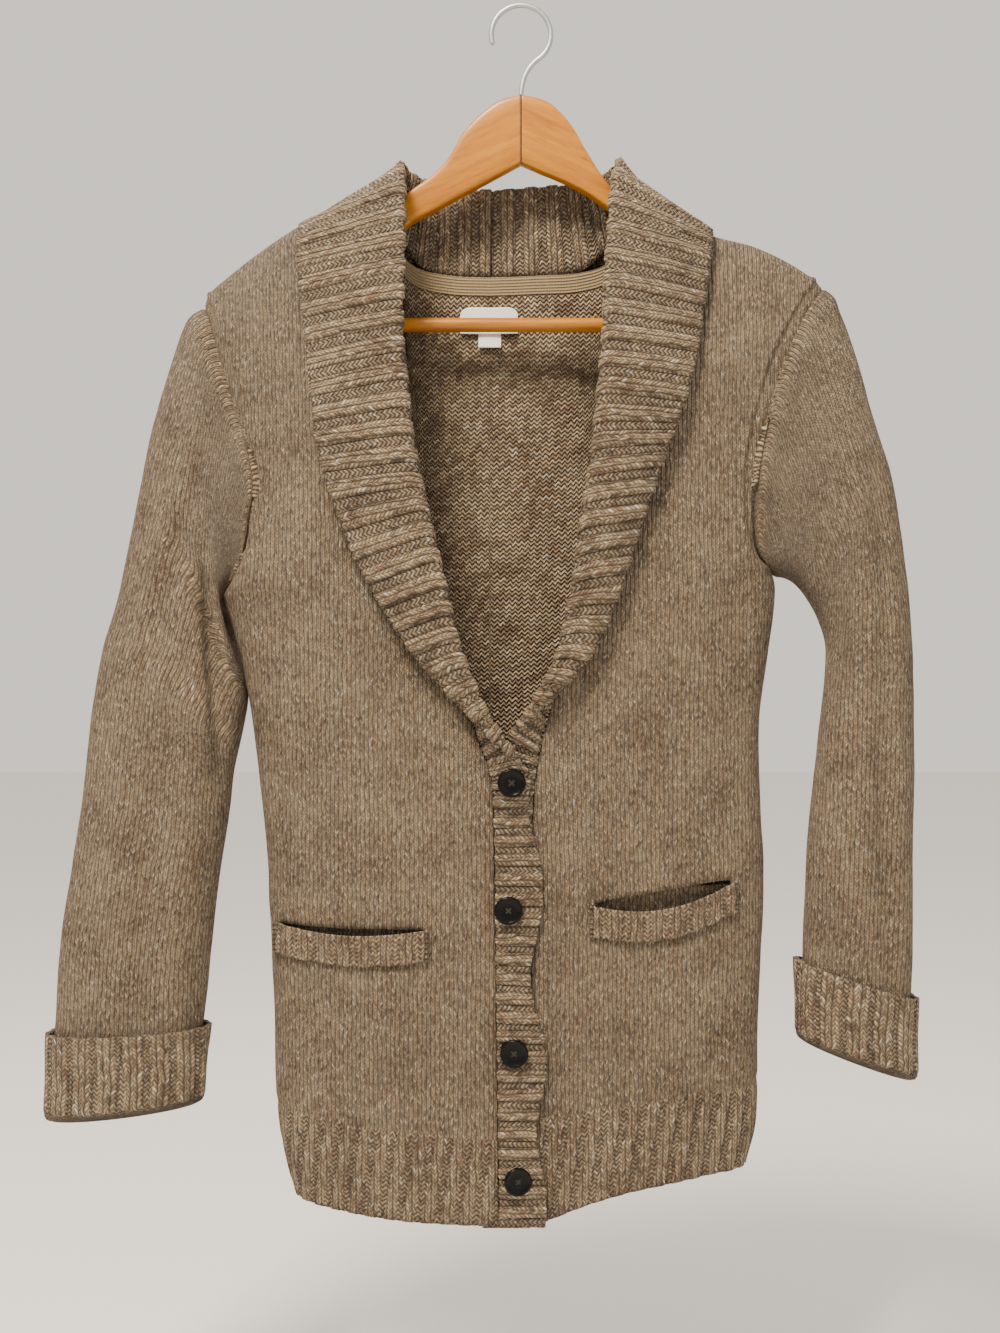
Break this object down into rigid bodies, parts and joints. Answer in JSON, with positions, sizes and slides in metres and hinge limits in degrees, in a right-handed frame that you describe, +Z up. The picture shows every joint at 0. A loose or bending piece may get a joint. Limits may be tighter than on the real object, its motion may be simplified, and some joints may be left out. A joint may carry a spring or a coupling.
{
  "type": "shawl collar cardigan on a wooden hanger",
  "caption": "Heathered knitted cardigan with a wide ribbed shawl collar, buttoned front band, welt pockets and turned-back cuffs, hanging on a wooden bar hanger.",
  "frame": {"origin": "inside top of the hanger's hook, where a rail carries it", "axes": "+Z up, -Y the garment's front, +X the wearer's left"},
  "size_m": [0.607, 0.1118, 0.8435],
  "materials": {
    "wool_knit": "heathered oatmeal wool in plain knit, with cream, brown and rust flecks",
    "wool_rib": "the same wool in a wide raised rib",
    "neck_tape": "khaki ribbed cotton tape",
    "label": "plain white woven satin",
    "button": "moulded black, polished",
    "wood": "honey-coloured beech under clear lacquer",
    "hook_steel": "bright plated steel wire"
  },
  "bodies": {
    "root": {"back": "wool_knit", "right_front": "wool_knit", "left_front": "wool_knit", "right_sleeve": "wool_knit", "left_sleeve": "wool_knit", "right_collar_band": "wool_rib", "left_collar_band": "wool_rib", "right_pocket_welt": "wool_rib", "left_pocket_welt": "wool_rib", "right_pocket_bag": "wool_knit", "left_pocket_bag": "wool_knit", "neck_tape": "neck_tape", "neck_label": "label", "size_tab": "label", "button_1": "button", "button_2": "button", "button_3": "button", "button_4": "button", "hanger_arm_right": "wood", "hanger_arm_left": "wood", "hanger_bar": "wood", "hanger_hook": "hook_steel"}
  },
  "joints": []
}
